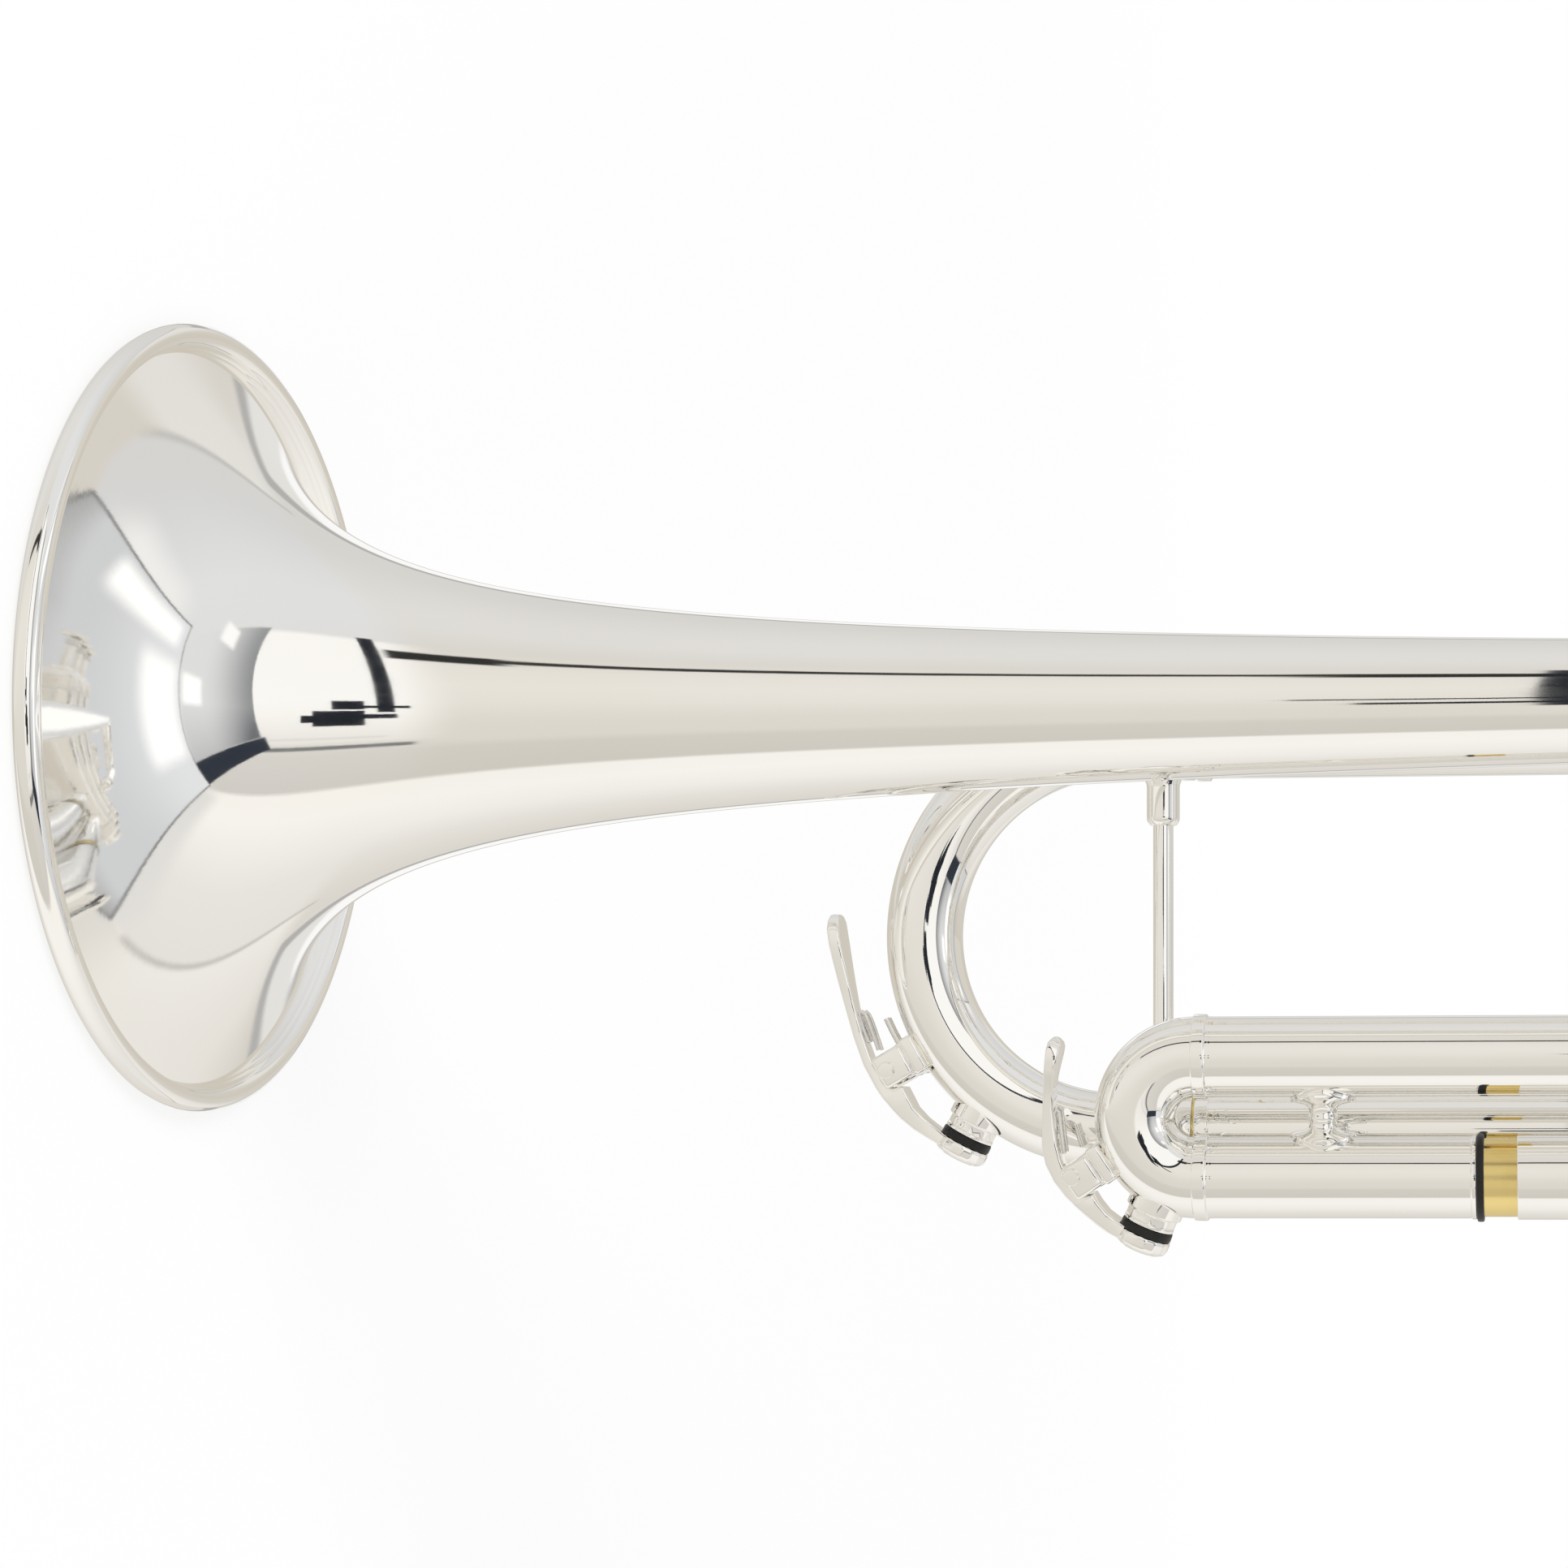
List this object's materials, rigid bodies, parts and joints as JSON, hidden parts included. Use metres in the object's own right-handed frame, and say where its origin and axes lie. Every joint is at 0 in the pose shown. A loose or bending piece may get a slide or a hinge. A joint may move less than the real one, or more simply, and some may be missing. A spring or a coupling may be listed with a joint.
{
  "type": "trumpet",
  "caption": "Silver-plated B-flat trumpet with piston valves, pull-out tuning slides, sprung water keys and a removable mouthpiece, standing on its bell.",
  "frame": {"origin": "centre of the bell's rim, on the surface that the bell stands on", "axes": "+Z along the bell's axis from the rim towards the player, -X towards the finger buttons, +Y to the player's right"},
  "size_m": [0.1649, 0.1415, 0.547],
  "materials": {
    "silver_plate": "polished silver plate",
    "raw_brass": "polished",
    "nickel": "fine ground",
    "pearl": "iridescent white",
    "felt": "wool felt",
    "black_rubber": "satin",
    "spring_steel": "drawn wire"
  },
  "bodies": {
    "horn": {"bell_flare": "silver_plate", "bell_stem": "silver_plate", "rim_wire": "raw_brass", "bell_bow": "silver_plate", "leadpipe": "silver_plate", "mouthpiece_receiver": "silver_plate", "bell_braces": "silver_plate", "finger_hook": "silver_plate", "valve_casing_1": "silver_plate", "valve_casing_2": "silver_plate", "valve_casing_3": "silver_plate", "crossover_tubes": "silver_plate", "top_caps": "silver_plate", "bottom_caps": "silver_plate", "valve_guides": "raw_brass", "tuning_outer_tubes": "silver_plate", "third_outer_tubes": "silver_plate", "first_outer_tubes": "silver_plate", "second_outer_tubes": "silver_plate", "valve_spring_1": "spring_steel", "valve_spring_2": "spring_steel", "valve_spring_3": "spring_steel"},
    "valve_1": {"piston_1": "nickel", "valve_stem_1": "silver_plate", "finger_button_1": "silver_plate", "pearl_1": "pearl", "valve_felts_1": "felt"},
    "valve_2": {"piston_2": "nickel", "valve_stem_2": "silver_plate", "finger_button_2": "silver_plate", "pearl_2": "pearl", "valve_felts_2": "felt"},
    "valve_3": {"piston_3": "nickel", "valve_stem_3": "silver_plate", "finger_button_3": "silver_plate", "pearl_3": "pearl", "valve_felts_3": "felt"},
    "tuning_slide": {"tuning_bow": "silver_plate", "tuning_legs": "raw_brass", "tuning_brace": "silver_plate", "tuning_key_saddle": "silver_plate", "tuning_key_spring": "spring_steel"},
    "tuning_water_key": {"tuning_key_lever": "silver_plate", "tuning_key_cork": "black_rubber"},
    "third_slide": {"third_bow": "silver_plate", "third_sleeves": "silver_plate", "third_legs": "raw_brass", "third_brace": "silver_plate", "third_bumpers": "black_rubber", "finger_ring": "silver_plate", "third_key_saddle": "silver_plate", "third_key_spring": "spring_steel"},
    "third_water_key": {"third_key_lever": "silver_plate", "third_key_cork": "black_rubber"},
    "first_slide": {"first_bow": "silver_plate", "first_legs": "raw_brass", "thumb_saddle": "silver_plate"},
    "second_slide": {"second_bow": "silver_plate", "second_legs": "raw_brass"},
    "mouthpiece": {"mouthpiece": "silver_plate"}
  },
  "joints": [
    {"name": "valve_1_press", "type": "slide", "parent": "horn", "child": "valve_1", "axis": [1, 0, 0], "range_m": [0, 0.0165], "stiffness_N_per_m": 120, "springref_m": -0.012, "deforming": ["valve_spring_1"]},
    {"name": "valve_2_press", "type": "slide", "parent": "horn", "child": "valve_2", "axis": [1, 0, 0], "range_m": [0, 0.0165], "stiffness_N_per_m": 120, "springref_m": -0.012, "deforming": ["valve_spring_2"]},
    {"name": "valve_3_press", "type": "slide", "parent": "horn", "child": "valve_3", "axis": [1, 0, 0], "range_m": [0, 0.0165], "stiffness_N_per_m": 120, "springref_m": -0.012, "deforming": ["valve_spring_3"]},
    {"name": "tuning_slide_pull", "type": "slide", "parent": "horn", "child": "tuning_slide", "axis": [0, 0, -1], "range_m": [0, 0.05]},
    {"name": "tuning_water_key_press", "type": "hinge", "parent": "tuning_slide", "child": "tuning_water_key", "pos_m": [0.05898, 0.03636, 0.10137], "axis": [0.0849, 0.9964, 0], "range_deg": [0, 12], "stiffness_Nm_per_rad": 0.08, "springref_deg": -28.65},
    {"name": "third_slide_pull", "type": "slide", "parent": "horn", "child": "third_slide", "axis": [0, 0, -1], "range_m": [-0.005, 0.015]},
    {"name": "third_water_key_press", "type": "hinge", "parent": "third_slide", "child": "third_water_key", "pos_m": [0.07425, 0.021, 0.1344], "axis": [0, 1, 0], "range_deg": [0, 12], "stiffness_Nm_per_rad": 0.08, "springref_deg": -28.65},
    {"name": "first_slide_pull", "type": "slide", "parent": "horn", "child": "first_slide", "axis": [0, 0, 1], "range_m": [0, 0.018]},
    {"name": "second_slide_pull", "type": "slide", "parent": "horn", "child": "second_slide", "axis": [0, 1, 0], "range_m": [0, 0.014]},
    {"name": "mouthpiece_pull", "type": "slide", "parent": "horn", "child": "mouthpiece", "axis": [0, 0, 1], "range_m": [0, 0.024]}
  ]
}
